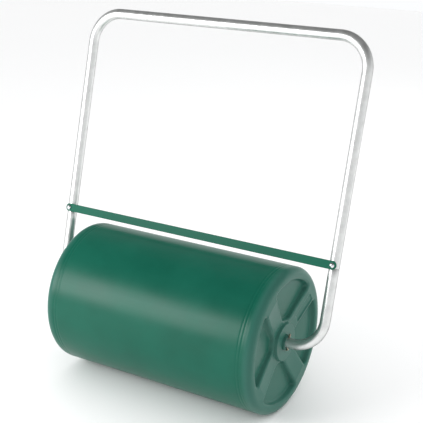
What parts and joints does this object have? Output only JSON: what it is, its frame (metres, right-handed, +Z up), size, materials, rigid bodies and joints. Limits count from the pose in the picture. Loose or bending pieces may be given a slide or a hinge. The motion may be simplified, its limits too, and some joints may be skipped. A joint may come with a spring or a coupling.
{
  "type": "lawn roller",
  "caption": "Walk-behind lawn roller: a water-fillable plastic drum turning on the inward ends of a leaning tubular handle with a flat cross bar.",
  "frame": {"origin": "on the ground, under the middle of the drum and its axle", "axes": "+Z up, X along the axle, +Y the side that the handle leans to"},
  "size_m": [0.695, 0.3371, 0.7831],
  "materials": {
    "drum_plastic": "satin moulded polyethylene, dark green",
    "bush_plastic": "plain moulded nylon, dark green-grey",
    "plug_plastic": "plain moulded plastic, black",
    "seal_rubber": "black rubber",
    "galvanised_tube": "bright galvanised steel",
    "bar_paint": "green powder coat",
    "pin_steel": "yellow-passivated steel, dulled",
    "zinc_plate": "bright zinc plate",
    "nut_nylon": "pale nylon"
  },
  "bodies": {
    "handle_frame": {"upper_handle": "galvanised_tube", "lower_arm_left": "galvanised_tube", "lower_arm_right": "galvanised_tube", "cross_bar": "bar_paint", "thrust_washer_left": "bush_plastic", "thrust_washer_right": "bush_plastic", "split_pin_left": "pin_steel", "split_pin_right": "pin_steel", "bar_bolt_left": "zinc_plate", "bar_bolt_right": "zinc_plate", "bar_washer_left": "zinc_plate", "bar_washer_right": "zinc_plate", "lock_nut_left": "zinc_plate", "lock_nut_right": "zinc_plate", "nut_insert_left": "nut_nylon", "nut_insert_right": "nut_nylon"},
    "drum": {"drum_shell": "drum_plastic", "hub_bush_left": "bush_plastic", "hub_bush_right": "bush_plastic"},
    "seal": {"plug_seal": "seal_rubber"},
    "plug": {"filler_plug": "plug_plastic"}
  },
  "joints": [
    {"name": "drum_spin", "type": "hinge", "parent": "handle_frame", "child": "drum", "pos_m": [0, 0, 0.15978], "axis": [1, 0, 0], "continuous": true},
    {"name": "plug_travel", "type": "slide", "parent": "drum", "child": "seal", "axis": [-1, 0, 0], "range_m": [0, 0.01]},
    {"name": "plug_turn", "type": "hinge", "parent": "seal", "child": "plug", "pos_m": [-0.25, -0.01622, 0.24322], "axis": [-1, 0, 0], "range_deg": [0, 720]}
  ],
  "couplings": [
    {"joint": "plug_travel", "follows": "plug_turn", "m_per_rad": 0.000795}
  ]
}
